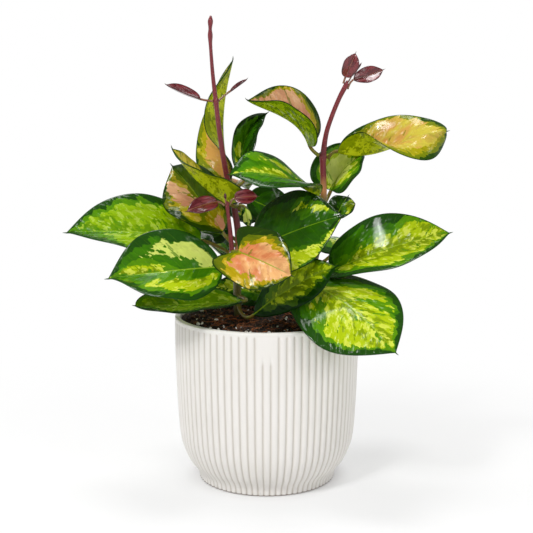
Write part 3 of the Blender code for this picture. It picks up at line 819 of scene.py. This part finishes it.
def blend(values, u):
    """A number, or the parabola through three numbers at 0, 0.5 and 1."""
    if not isinstance(values, tuple):
        return values + 0 * u
    base, middle, tip = values
    return base * (1 - u) * (1 - 2 * u) + 4 * middle * u * (1 - u) + tip * u * (2 * u - 1)


@dataclass
class Tissue:
    """The paints of a leaf, in ordinary 0 to 255 steps, and its share of a full coat of wax."""
    rim: tuple = (24, 62, 12)
    ground: tuple = (56, 112, 2)
    half_tone: tuple = (84, 136, 2)
    lime: tuple = (120, 144, 2)
    bright: tuple = (166, 188, 10)
    pale: tuple = (198, 210, 70)
    cream_base: tuple = (192, 206, 96)
    cream_tip: tuple = (204, 214, 104)
    back: tuple = (96, 132, 10)
    back_pale: tuple = (160, 178, 16)
    rib: tuple = (150, 186, 40)
    stalk: tuple = (112, 118, 40)
    wax: float = 1.0


LEAF_SHINE = 0.12
LEAF_COAT = 0.2
VEIN_PITCH = 6.5         # distance between side veins, in mm
VEIN_LEAN = 0.6          # how far a side vein runs forward for each millimetre outward
VEIN_CURVE = 0.006
TISSUES = {
    "lime": Tissue(),
    "soft": Tissue(ground=(60, 116, 2), lime=(100, 142, 2), bright=(134, 170, 4),
                   pale=(160, 188, 60)),
    "olive": Tissue(rim=(10, 44, 0), ground=(34, 72, 0), half_tone=(66, 98, 2), lime=(92, 114, 2),
                    bright=(122, 146, 4), pale=(156, 176, 20), rib=(116, 144, 20), wax=0.4),
    "fresh": Tissue(ground=(62, 120, 4), half_tone=(84, 136, 4), bright=(164, 184, 20)),
    "dark": Tissue(rim=(18, 44, 6), ground=(38, 84, 2), half_tone=(62, 110, 2), lime=(116, 144, 2),
                   bright=(164, 184, 14), rib=(106, 146, 16)),
    "pink": Tissue(rim=(24, 50, 0), ground=(62, 86, 0), half_tone=(98, 108, 0), lime=(138, 122, 0),
                   bright=(164, 142, 8), pale=(194, 164, 50), cream_base=(200, 120, 74),
                   cream_tip=(222, 172, 112), back=(100, 122, 0), back_pale=(136, 156, 2),
                   rib=(126, 154, 16)),
    "blush": Tissue(rim=(24, 50, 0), ground=(60, 86, 0), half_tone=(96, 108, 0), lime=(132, 120, 0),
                    bright=(152, 140, 10), pale=(176, 156, 56), cream_base=(184, 126, 92),
                    cream_tip=(206, 162, 118), back=(112, 144, 2), back_pale=(160, 184, 16),
                    rib=(126, 154, 16)),
    "gold": Tissue(rim=(22, 60, 4), ground=(82, 112, 2), half_tone=(116, 126, 2),
                   lime=(142, 136, 2), bright=(158, 150, 10), pale=(180, 170, 52),
                   cream_base=(196, 148, 74), cream_tip=(194, 180, 62), back=(134, 150, 2),
                   back_pale=(188, 198, 24), rib=(192, 192, 84)),
}


def scaled(tone, share):
    """A linear colour made darker."""
    return tuple(share * c for c in tone)


def leaf_tissue(leaf):
    """Waxy living tissue, a patchwork of cell lines. Islands and flecks run forward from the midrib
    like the side veins: a place's vein coordinate is its distance along the leaf less a share of
    its distance from the midrib. Both faces are waxed, and the paler tissue shows on both."""
    paints = TISSUES[leaf.tissue]
    rim, rib, back = paint(*paints.rim), paint(*paints.rib), paint(*paints.back)
    cream_base, cream_tip = paint(*paints.cream_base), paint(*paints.cream_tip)
    material, wire, shader = new_material(f"{leaf.name}_tissue")
    along, reach, edge = (wire.attribute(label) for label in ("along", "reach", "edge"))
    upper = wire.attribute("upper").rise(0.4, 0.6)
    lateral = reach.size()
    vein = along * leaf.length - VEIN_LEAN * lateral - VEIN_CURVE * lateral * lateral
    # Each leaf, and each half of it, takes its pattern from another layer of the noise
    layer = reach.rise(-0.01, 0.01) * 9.0 + leaf.seed * 5.0
    spot = wire.vector(vein, lateral, layer)

    def noise(scale, detail=2.0, rough=0.5):
        return wire.noise(spot, scale, detail, rough) - 0.5

    # Uneven fields that all tissues share, and the teeth that they give every border
    big, middling, small = noise(0.085, 1.0), noise(0.22, 2.0, 0.6), noise(0.8, 2.0, 0.6)
    blotch, cloud = noise(0.17, 5.0, 0.62), noise(0.10, 2.0)
    stretched = wire.vector(vein * 0.30, lateral * 0.07, layer + 3.0)
    streak = wire.noise(stretched, 1.0, 3.0, 0.55) - 0.5
    line = ((vein + 5.0 * cloud) * (1.0 / VEIN_PITCH)).zigzag()
    scallop = wire.node("ShaderNodeTexVoronoi", {"feature": "SMOOTH_F1"},
                        {"Vector": spot, "Scale": 0.3, "Smoothness": 0.2})
    jag = 11.0 * big + 7.0 * middling + 1.6 * small + 3.2 * (scallop - 0.45)

    # Green: clouded, darker in a band along the margin, and half pale round the lime
    ground = ((blotch + cloud).rise(-0.1, 0.25) * 0.45).tint(paint(*paints.ground), rim)
    band = (edge + 14.0 * big + 7.0 * middling + 2.0 * small - 6.0).rise(0.3, -0.3) * 0.85
    green = band.tint(ground, rim)
    zone = (wire.attribute("lime") + 0.6 * jag + 14.0 * cloud + 3.4).rise(-0.15, 0.15)
    halves = (blotch.rise(-0.05, 0.15) * 0.6).tint(paint(*paints.half_tone), paint(*paints.ground))
    green = zone.tint(green, halves)

    # Lime and cream: two areas with green islands, each of a few shades
    island = (streak + 0.2 * small).rise(0.13, 0.145)
    island = island.most((small + 0.3 * middling).rise(0.24, 0.26) * 0.7)
    lime = (wire.attribute("lime") + jag).rise(-0.15, 0.15) * (1.0 - island)
    fresh = blotch + 0.1 * small + 0.012 * (lateral - 9.0)
    limes = fresh.rise(-0.10, -0.01).tint(paint(*paints.lime), paint(*paints.bright))
    palest = (middling + 0.8 * blotch + 0.15 * small).rise(0.05, 0.10)
    limes = palest.tint(limes, paint(*paints.pale))
    cream = (wire.attribute("cream") + jag).rise(-0.15, 0.15) * (1.0 - island * 0.7)
    creams = (along + 2.4 * cloud + 1.6 * blotch).rise(0.1, 0.9).tint(cream_base, cream_tip)
    creams = (blotch.rise(0.02, 0.08) * 0.4).tint(creams, scaled(cream_base, 0.78))
    front = cream.tint(lime.tint(green, limes), creams)

    # Side veins and midrib
    side_vein = line.rise(0.10, 0.0) * lateral.rise(0.6, 1.6) * edge.rise(1.0, 4.0)
    side_vein = side_vein * small.rise(-0.2, 0.1) * (0.12 + 0.3 * cream)
    front = side_vein.tint(front, cream.tint(rib, cream_tip))
    midrib = (lateral - 0.5 + 0.3 * along).rise(0.15, -0.1) * along.rise(1.0, 0.8)
    front = (midrib * 0.85).tint(front, rib)

    # The back, where the paler areas show through, then the rim and the stalk
    pale = (lime.most(cream) * 0.8 + 0.8 * blotch + 0.1).rise(0.0, 1.0)
    behind = pale.tint(back, paint(*paints.back_pale))
    behind = (middling + 0.5 * small).rise(0.03, 0.08).tint(behind, scaled(back, 0.88))
    tone = edge.rise(1.0, 0.3).tint(upper.tint(behind, front), rim)
    stalk = blotch.rise(-0.1, 0.1).tint(paint(*paints.stalk), paint(116, 92, 36))
    tone = along.rise(0.0, -0.05).tint(tone, stalk)

    quilt = 0.3 * line.rise(0.0, 0.5) + 2.6 * noise(0.2, 0.0) + 3.2 * cloud
    height = quilt * along.rise(0.0, 0.05) * edge.rise(0.2, 2.5) * (0.5 + 0.5 * upper)
    feed(shader, base_color=tone, roughness=0.15 + 0.2 * (blotch + 0.3),
         specular_ior_level=LEAF_SHINE * paints.wax, coat_weight=LEAF_COAT * paints.wax,
         coat_roughness=0.08, normal=wire.bump(height, 0.0004))
    return material


LEAVES = [
    # Leaves towards the front: from the left over the top to the right, then those in the middle
    # and below, and last the small ones between them
    Leaf("leaf_far_left", "stem_tall", 159, base=(-47, 2, 170), tip=(-137, -20, 178),
         face=(0, -0.8, 0.6), width=60, widest=0.46, left=(15, 34, 52), right=5, arch=6,
         tissue="soft", lime=(Splash(0.47, 0.33, 0.42, 0.42), Splash(0.42, -0.4, 0.26, 0.5))),
    Leaf("leaf_front_left", "stem_front", 153, base=(-31, -37, 157), tip=(-104, -55, 152),
         face=(0.05, -0.93, 0.35), width=58, widest=0.5, left=(25, 38, 70), right=0, arch=4,
         lobe=0.05, wave=1.2,
         lime=(Splash(0.80, 0.16, 0.20, 0.10, 0.4), Splash(0.38, -0.52, 0.32, 0.17, -0.1)),
         cream=(Splash(0.34, 0.50, 0.28, 0.23, 0.2), Splash(0.14, 0.34, 0.10, 0.36))),
    Leaf("leaf_pink_fold", "stem_tall", 167, base=(-31, -7, 177), tip=(-66, 4, 222),
         face=(0.1, -0.95, 0.25), width=49, widest=0.55, left=(50, 18, -12), right=(36, 48, 58),
         arch=1, sway=1, tissue="blush",
         lime=(Splash(0.15, 0.1, 0.17, 0.6), Splash(0.58, -0.45, 0.3, 0.34)),
         cream=(Splash(0.60, -0.40, 0.25, 0.25, -1.0), Splash(0.10, 0.25, 0.08, 0.5))),
    Leaf("leaf_yellow_curl", "stem_tall", 198, base=(-25.5, -28.5, 198.8),
         tip=(-61.7, -43.5, 236.3), face=(0.35, -0.1, 0.9), width=36, widest=0.42,
         left=(80, 36, -10), right=(12, 16, 35), arch=-3, lobe=0.5, blunt=0.33, tissue="gold",
         lime=(Splash(0.5, 0.0, 0.5, 0.9),), cream=(Splash(0.55, 0.1, 0.4, 0.6),)),
    Leaf("leaf_centre_glossy", "stem_right", 192, base=(35.5, -6.5, 202), tip=(-24.5, -38, 219),
         face=(0, -0.6, 0.8), width=46, widest=0.58, left=(95, 30, 18), right=(0, 8, 20), arch=8,
         ess=-1, cup=-15, tissue="fresh",
         lime=(Splash(0.60, 0.06, 0.16, 0.09), Splash(0.36, 0.45, 0.18, 0.10, 0.7),
               Splash(0.05, -0.3, 0.14, 0.7))),
    Leaf("leaf_tall_cream", "stem_tall", 202, base=(-26, 10, 212), tip=(-24, 24, 296),
         face=(-1, 0.05, 0), width=43, widest=0.33, left=(75, 55, 35), right=(24, 36, 35),
         twist=(40, 0, 0), arch=8, sway=-16, point=1.1, tissue="gold",
         lime=(Splash(0.5, 0.0, 0.5, 0.85),),
         cream=(Splash(0.3, 0.0, 0.32, 0.62), Splash(0.7, 0, 0.2, 0.4))),
    Leaf("leaf_dark_upright", "stem_tall", 207, base=(-16, 16.5, 214.5), tip=(0, 38, 258),
         face=(0, -0.95, 0.3), width=24, widest=0.5, left=(35, 48, 65), right=(38, 45, 45),
         arch=2, sway=-8, tissue="dark", lime=(Splash(0.26, -0.5, 0.24, 0.26),)),
    Leaf("leaf_arch_pink", "stem_right", 229, base=(29.5, 2, 237), tip=(-13, -12, 267.5),
         face=(0.53, -0.4, 0.75), width=43, left=(35, 50, 50), right=(38, 50, 48), arch=5, ess=1.5,
         sway=2, tissue="blush", lime=(Splash(0.5, 0.0, 0.5, 0.88),),
         cream=(Splash(0.52, -0.05, 0.46, 0.86), Splash(0.15, 0.0, 0.12, 0.5))),
    Leaf("leaf_yellow_right", "stem_right", 227, base=(50, 5, 232), tip=(120, -25, 247),
         face=(0, -0.5, 0.87), width=46, widest=0.5, blunt=0.45, point=0.34, left=(66, 38, -15),
         right=(88, 44, -120), arch=-4, ess=-3, tissue="gold",
         lime=(Splash(0.5, 0.0, 0.52, 0.9),), cream=(Splash(0.5, -0.1, 0.47, 0.8),)),
    Leaf("leaf_behind_stem", "stem_right", 195, base=(46, 18, 204), tip=(70.5, 30, 229),
         face=(0, -0.95, 0.3), width=44, widest=0.38, left=(-10, 28, 55), right=(60, 60, 72),
         arch=2, sway=-3,
         lime=(Splash(0.42, -0.05, 0.40, 0.7),), cream=(Splash(0.4, -0.1, 0.32, 0.5),)),
    Leaf("leaf_small_curled", "stem_right", 183, base=(50, 20, 184), tip=(59, 32, 198),
         face=(0, -0.6, 0.8), width=20, widest=0.5, arch=2, tissue="dark",
         lime=(Splash(0.6, 0.6, 0.2, 0.3),)),
    Leaf("leaf_dark_centre", "stem_tall", 161, base=(-8, -16, 166), tip=(50, -45, 192.5),
         face=(-0.1, -0.85, 0.5), width=60, left=0, right=8, arch=4, tissue="dark",
         lime=(Splash(0.66, 0.80, 0.26, 0.16, 0.3), Splash(0.40, 0.74, 0.16, 0.24),
               Splash(0.76, -0.50, 0.13, 0.14))),
    Leaf("leaf_pink_front", "stem_front", 163, base=(-17.5, -66, 171), tip=(15, -90, 160),
         face=(-0.62, -0.53, 0.57), width=42, widest=0.42, left=(0, 6, 10), right=(34, 6, 8),
         arch=3, lobe=0.64, blunt=0.5, point=0.7, tissue="pink",
         lime=(Splash(0.54, 0.08, 0.56, 0.80),), cream=(Splash(0.58, 0.06, 0.50, 0.62),)),
    Leaf("leaf_low_left", "stem_tall", 130, base=(-18, -19, 130), tip=(-88, -42, 131.5),
         face=(0, -0.5, 0.86), width=34, widest=0.55, blunt=0.45, point=0.5, left=(32, 24, 20),
         right=10, arch=-1, tissue="soft", lime=(Splash(0.5, 0.05, 0.5, 0.82),)),
    Leaf("leaf_low_centre", "stem_tall", 123, base=(-8, -28, 123), tip=(45.5, -55, 160.5),
         face=(0.1, -0.9, 0.5), width=30, widest=0.57, left=5, right=5, arch=3, sway=-2,
         tissue="olive", lime=(Splash(0.62, -0.15, 0.36, 0.6, -0.4),)),
    Leaf("leaf_lower_right", "stem_right", 130, base=(25, -20, 144.5), tip=(81.5, -87, 110),
         face=(0.25, -0.75, 0.6), width=69, widest=0.52, left=-4, right=(-9, -14, -32), arch=8,
         lime=(Splash(0.60, 0.02, 0.38, 0.74),),
         green=(Splash(0.62, -0.50, 0.17, 0.10, -1.4), Splash(0.83, 0.12, 0.15, 0.08, 0.4),
                Splash(0.40, 0.45, 0.10, 0.10, 1.6))),
    Leaf("leaf_right", "stem_right", 142, base=(45, -12, 150), tip=(124, -25, 178.5),
         face=(0, -0.85, 0.5), width=52, left=0, right=(60, 40, 35), arch=8,
         lime=(Splash(0.55, 0.2, 0.46, 0.52), Splash(0.78, -0.35, 0.18, 0.5, -1.0))),
    Leaf("leaf_shade", "stem_tall", 190, base=(-13, 8, 199), tip=(18, 14, 184),
         face=(0.2, -0.85, 0.5), width=32, widest=0.5, tissue="dark"),
    Leaf("leaf_low_behind", "stem_tall", 168, base=(-28, 12, 172), tip=(-56, 18, 176),
         face=(0, -0.8, 0.6), width=24, widest=0.5, tissue="dark"),
    Leaf("leaf_pale_hanging", "stem_tall", 194, base=(-15, -1, 193), tip=(-12.5, -4, 180),
         face=(0, -0.95, -0.1), width=8, widest=0.5, stalk=0.8, thickness=1.0, wave=0,
         cream=(Splash(0.5, 0, 0.5, 0.8),)),
    # Leaves on the far side
    Leaf("leaf_back_left", "stem_tall", 150, base=(-32, 26, 156), tip=(-82, 64, 166),
         face=(-0.1, 0.35, 0.9), width=46, left=15, right=15, arch=6,
         lime=(Splash(0.5, -0.1, 0.42, 0.6),), green=(Splash(0.6, 0.2, 0.2, 0.06, 1.0),)),
    Leaf("leaf_back_middle", "stem_tall", 172, base=(-12, 24, 180), tip=(-2, 88, 176),
         face=(0, 0.4, 0.9), width=44, left=12, right=12, arch=9, tissue="dark",
         lime=(Splash(0.55, 0.5, 0.3, 0.2), Splash(0.4, -0.4, 0.2, 0.2))),
    Leaf("leaf_back_right", "stem_right", 150, base=(48, 26, 157), tip=(84, 74, 150),
         face=(0.1, 0.4, 0.9), width=48, left=15, right=12, arch=9,
         lime=(Splash(0.5, 0.1, 0.42, 0.7),), cream=(Splash(0.4, -0.3, 0.2, 0.25),)),
    Leaf("leaf_back_low", "stem_right", 133, base=(24, 28, 136), tip=(14, 86, 118),
         face=(0, 0.5, 0.85), width=46, left=8, right=8, arch=9, tissue="dark",
         lime=(Splash(0.6, 0.0, 0.3, 0.5),)),
    Leaf("leaf_back_shade", "stem_right", 121, base=(6, 22, 125), tip=(-42, 36, 131),
         face=(0, -0.85, 0.5), width=24, widest=0.5, left=5, right=5, arch=3, tissue="dark",
         lime=(Splash(0.5, 0.2, 0.3, 0.3),)),
    Leaf("leaf_back_upper", "stem_tall", 200, base=(-25, 18, 203), tip=(-14, 68, 200),
         face=(0, 0.45, 0.9), width=34, left=22, right=22, arch=7, tissue="pink",
         lime=(Splash(0.5, 0.0, 0.45, 0.7),), cream=(Splash(0.5, 0.1, 0.32, 0.4),)),
]

for number, leaf in enumerate(LEAVES):
    leaf.seed = 1.7 * number
    piece = leaf.make()
    piece.data.materials.append(leaf_tissue(leaf))
    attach(piece, "root")
    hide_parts(leaf.name)

# ------------------------------------------------------------------------------------- young leaves
# New growth at the tips of the shoots: small leaves and buds, still crimson and partly folded, on
# thin stalks of the same colour.

YOUNG_LEAVES = [
    Leaf("young_leaf_tall_left", "stem_tall", 267, base=(-46, -3, 268.3), tip=(-68, -14, 278),
         face=(0, -0.6, 0.8), width=12, left=35, right=30, arch=-1, stalk=0.75, thickness=1.0,
         wave=0),
    Leaf("young_leaf_tall_right", "stem_tall", 267, base=(-25, 7, 274), tip=(-14, 11, 282),
         face=(0, -0.6, 0.8), width=3.6, left=40, right=40, stalk=0.75, thickness=1.4, wave=0),
    Leaf("young_leaf_front_left", "stem_front", 199, base=(-33, -44.5, 201.5), tip=(-52, -52, 196),
         face=(0, -0.85, 0.5), width=12.5, left=15, right=10, arch=1.5, stalk=0.7, thickness=1.0,
         wave=0.2),
    Leaf("young_leaf_front_right", "stem_front", 199, base=(-21, -40, 203.5), tip=(-6, -38, 204.5),
         face=(0, -0.9, 0.4), width=11, left=8, right=12, arch=1, stalk=0.7, thickness=1.0,
         wave=0.2),
    Leaf("young_leaf_right_upright", "stem_right", 278, base=(54, -1.6, 283.5), tip=(60.3, -5, 299),
         face=(0.1, -0.95, 0.3), width=12, widest=0.5, left=30, right=20, arch=1.5, stalk=0.7,
         thickness=1.0, wave=0.2),
    Leaf("young_leaf_right_side", "stem_right", 276, base=(60, 0, 281.5), tip=(80.5, 5, 288.3),
         face=(0, -0.9, 0.45), width=13, widest=0.5, left=25, right=20, arch=-1.5, stalk=0.7,
         thickness=1.0, wave=0.2),
    Leaf("bud_front", "stem_front", 200, base=(-27.2, -43, 203.6), tip=(-27.5, -43.5, 207),
         face=(0, -1, 0), width=2.2, left=50, right=50, stalk=0.5, thickness=1.1, wave=0),
    Leaf("bud_right", "stem_right", 278.5, base=(61, 3, 287.5), tip=(65, 4, 292.5),
         face=(0, -1, 0.2), width=2.4, left=50, right=50, stalk=0.5, thickness=1.1, wave=0),
]


def young_tissue(leaf):
    """Glossy crimson skin in fine streaks, darker at the margin, with a brown midrib and stalk."""
    material, wire, shader = new_material(f"{leaf.name}_tissue")
    along, reach, edge = (wire.attribute(label) for label in ("along", "reach", "edge"))
    lateral = reach.size()
    vein = along * leaf.length - 0.9 * lateral
    grain = wire.vector(vein * 0.16, lateral * 0.5, leaf.seed)
    streak = wire.noise(grain, 1.0, 2.0).rise(0.35, 0.65)
    tone = streak.tint(paint(84, 14, 22), paint(124, 38, 44))
    tone = (lateral.rise(0.45, 0.2) * 0.7).tint(tone, paint(136, 88, 58))
    tone = (edge.rise(0.9, 0.3) * 0.7).tint(tone, paint(60, 10, 20))
    stalk = (streak * 0.6).tint(paint(128, 96, 58), paint(138, 58, 52))
    tone = along.rise(0.0, -0.1).tint(tone, stalk)
    feed(shader, base_color=tone, roughness=0.26 + 0.1 * streak, coat_weight=0.5,
         coat_roughness=0.08, normal=wire.bump(streak, 0.0002))
    return material


for number, leaf in enumerate(YOUNG_LEAVES):
    leaf.seed = 0.9 * number
    piece = leaf.make()
    piece.data.materials.append(young_tissue(leaf))
    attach(piece, "root")
    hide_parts(leaf.name)

# ------------------------------------------------------------------------------------- studio
# A seamless white floor under an even white sky, four square lamps, and the camera a little above
# the leaves, looking slightly down. Sizes are in metres here.

CAMERA_PLACE = (-0.0002, -0.750, 0.269)
CAMERA_TILT = 81.1
LENS = 72.7
SENSOR = 36
FLOOR_SIZE = 12.0
FOOT_SHADE = (0.044, 0.062)      # the dark under the foot fades between these distances
CAST_SHADE = (0.10, 0.42)        # and the long shadow between these
WORLD_LIGHT = 0.45
PLANT_MIDDLE = (0, 0, 0.15)
LAMPS = [                        # name, place, aim, size and power
    ("key_light", (-0.8, -1.1, 1.4), PLANT_MIDDLE, 0.34, 14),          # upper left
    ("top_light", (-0.12, 0.14, 1.75), PLANT_MIDDLE, 0.5, 12),         # overhead
    ("fill_light", (1.4, -1.1, 0.9), PLANT_MIDDLE, 0.55, 7),           # right
    ("spark_light", (-0.55, -0.9, 1.0), (0, 0, 0.2), 0.07, 1.6),       # small, for crisp glints
]


def sight_rays(wire):
    """Light Path's masks of the rays that see the scene straight, mirrored and through glass."""
    names = ("Is Camera Ray", "Is Glossy Ray", "Is Transmission Ray")
    return [wire.node("ShaderNodeLightPath", {}, {}, output=name) for name in names]


def studio_white(name):
    """White that the camera, glass and gloss see as bare paper, the more so the farther it lies
    from the object, whose shadow stays on it. To all other light it is a plain pale floor."""
    material = bpy.data.materials.new(name)
    material.use_nodes = True
    tree = material.node_tree
    tree.nodes.clear()
    wire = Wire(tree)
    straight, shiny, clear = sight_rays(wire)
    length = {"operation": "LENGTH"}
    far = wire.node("ShaderNodeVectorMath", length, {0: wire.place()}, output="Value")
    bare = 0.1 + 0.46 * far.rise(*FOOT_SHADE) + 0.44 * far.rise(*CAST_SHADE)
    bare = straight.most(shiny).most(clear) * bare
    paper = wire.node("ShaderNodeEmission", {}, {"Color": (1, 1, 1, 1), "Strength": 1.0})
    pale = wire.node("ShaderNodeBsdfDiffuse", {}, {"Color": (0.86, 0.86, 0.86, 1)})
    both = wire.node("ShaderNodeMixShader", {}, {0: bare, 1: pale, 2: paper})
    output = tree.nodes.new("ShaderNodeOutputMaterial")
    tree.links.new(both.socket, output.inputs["Surface"])
    return material


def area_light(name, place, aim, size, power):
    """Square soft light at a place, turned to face a point."""
    lamp = bpy.data.lights.new(name, "AREA")
    lamp.size = size
    lamp.energy = power
    light = bpy.data.objects.new(name, lamp)
    light.location = place
    ahead = np.subtract(aim, place)
    across = math.hypot(ahead[0], ahead[1])
    light.rotation_euler = (math.atan2(across, -ahead[2]), 0, math.atan2(-ahead[0], ahead[1]))
    bpy.context.scene.collection.objects.link(light)


floor_mesh = bpy.data.meshes.new("studio_floor")
floor_corners = FLOOR_SIZE / 2 * np.array([(-1, -1, 0), (1, -1, 0), (1, 1, 0), (-1, 1, 0)])
floor_mesh.from_pydata(floor_corners.tolist(), [], [(0, 1, 2, 3)])
floor_mesh.materials.append(studio_white("studio_paper"))
studio_floor = bpy.data.objects.new("studio_floor", floor_mesh)
bpy.context.scene.collection.objects.link(studio_floor)

for lamp in LAMPS:
    area_light(*lamp)

# The sky is bare white to the camera, and near the horizon to gloss and glass
world = bpy.data.worlds.new("studio_world")
bpy.context.scene.world = world
world.use_nodes = True
sky = Wire(world.node_tree)
backdrop = world.node_tree.nodes["Background"]
straight, shiny, clear = sight_rays(sky)
direction = sky.node("ShaderNodeTexCoord", {}, {}, output="Generated")
upward = sky.node("ShaderNodeSeparateXYZ", {}, {0: direction}, output="Z")
mirrored = shiny.most(clear) * upward.rise(0.3, 0.05)
dome = WORLD_LIGHT * (1 - 0.6 * shiny)
light = dome + (1 - dome) * straight.most(mirrored)
world.node_tree.links.new(light.socket, backdrop.inputs["Strength"])
backdrop.inputs["Color"].default_value = (1, 1, 1, 1)

camera_data = bpy.data.cameras.new("camera")
camera_data.lens = LENS
camera_data.sensor_width = SENSOR
camera = bpy.data.objects.new("camera", camera_data)
camera.location = CAMERA_PLACE
camera.rotation_euler = (math.radians(CAMERA_TILT), 0, 0)
bpy.context.scene.collection.objects.link(camera)
bpy.context.scene.camera = camera
bpy.context.scene.view_settings.view_transform = "Standard"
